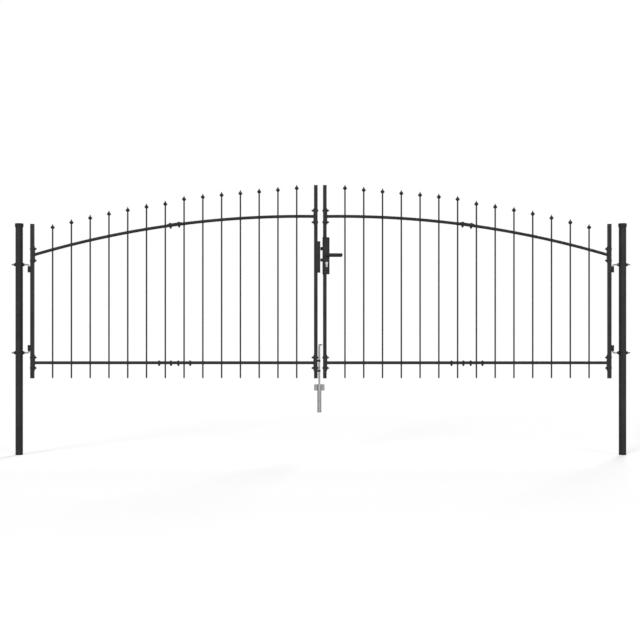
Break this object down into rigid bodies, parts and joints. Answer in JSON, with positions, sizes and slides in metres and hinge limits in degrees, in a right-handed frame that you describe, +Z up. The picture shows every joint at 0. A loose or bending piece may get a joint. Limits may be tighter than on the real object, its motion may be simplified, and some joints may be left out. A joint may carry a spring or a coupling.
{
  "type": "double driveway gate",
  "caption": "Arched double driveway gate with spear-headed pickets on round posts, with a lever lock, a dead bolt and a drop bolt.",
  "frame": {"origin": "centre of the underside of the left post's foot", "axes": "+X along the gate from the left post to the right post, +Y away from the viewer, the way the leaves open, +Z up"},
  "size_m": [4.05, 0.119, 1.7709],
  "materials": {
    "black_powder_coat": "satin black powder coat",
    "black_plastic": "moulded black plastic",
    "zinc_plate": "dull zinc plate",
    "nickel_plate": "satin nickel plate",
    "black_zinc": "black-passivated zinc plate"
  },
  "bodies": {
    "posts": {"left_post": "black_powder_coat", "right_post": "black_powder_coat", "left_post_cap": "black_plastic", "right_post_cap": "black_plastic", "left_post_foot": "black_plastic", "right_post_foot": "black_plastic", "left_upper_hinge_bolt": "zinc_plate", "left_lower_hinge_bolt": "zinc_plate", "right_upper_hinge_bolt": "zinc_plate", "right_lower_hinge_bolt": "zinc_plate", "left_hinge_nuts": "black_zinc", "right_hinge_nuts": "black_zinc", "ground_socket": "zinc_plate"},
    "left_leaf": {"left_outer_stile": "black_powder_coat", "left_inner_stile": "black_powder_coat", "left_stile_plugs": "black_plastic", "left_hinge_sleeves": "black_powder_coat", "left_outer_panel": "black_powder_coat", "left_inner_panel": "black_powder_coat", "left_arch_splice": "black_powder_coat", "lock_keep": "black_powder_coat", "drop_bolt_guides": "black_powder_coat"},
    "right_leaf": {"right_outer_stile": "black_powder_coat", "right_inner_stile": "black_powder_coat", "right_stile_plugs": "black_plastic", "right_hinge_sleeves": "black_powder_coat", "right_outer_panel": "black_powder_coat", "right_inner_panel": "black_powder_coat", "right_arch_splice": "black_powder_coat", "lock_case": "black_powder_coat", "lock_cylinder": "nickel_plate"},
    "lever": {"lever_front": "black_powder_coat", "lever_back": "black_powder_coat"},
    "latch": {"latch_bolt": "black_zinc"},
    "dead_bolt_body": {"dead_bolt": "black_zinc"},
    "drop_bolt_body": {"drop_rod": "zinc_plate"}
  },
  "joints": [
    {"name": "left_leaf_swing", "type": "hinge", "parent": "posts", "child": "left_leaf", "pos_m": [0.064, 0, 1.2455], "axis": [0, 0, 1], "range_deg": [0, 95]},
    {"name": "right_leaf_swing", "type": "hinge", "parent": "posts", "child": "right_leaf", "pos_m": [3.888, 0, 1.2455], "axis": [0, 0, -1], "range_deg": [0, 95]},
    {"name": "lever_turn", "type": "hinge", "parent": "right_leaf", "child": "lever", "pos_m": [2.011, 0, 1.308], "axis": [0, 1, 0], "range_deg": [0, 45], "stiffness_Nm_per_rad": 0.8, "springref_deg": -34.38},
    {"name": "latch_slide", "type": "slide", "parent": "right_leaf", "child": "latch", "axis": [1, 0, 0], "range_m": [0, 0.012]},
    {"name": "dead_bolt_slide", "type": "slide", "parent": "right_leaf", "child": "dead_bolt_body", "axis": [1, 0, 0], "range_m": [-0.01, 0.012]},
    {"name": "drop_bolt_slide", "type": "slide", "parent": "left_leaf", "child": "drop_bolt_body", "axis": [0, 0, 1], "range_m": [-0.06, 0.03]}
  ],
  "couplings": [
    {"joint": "latch_slide", "follows": "lever_turn", "m_per_rad": 0.01525}
  ]
}
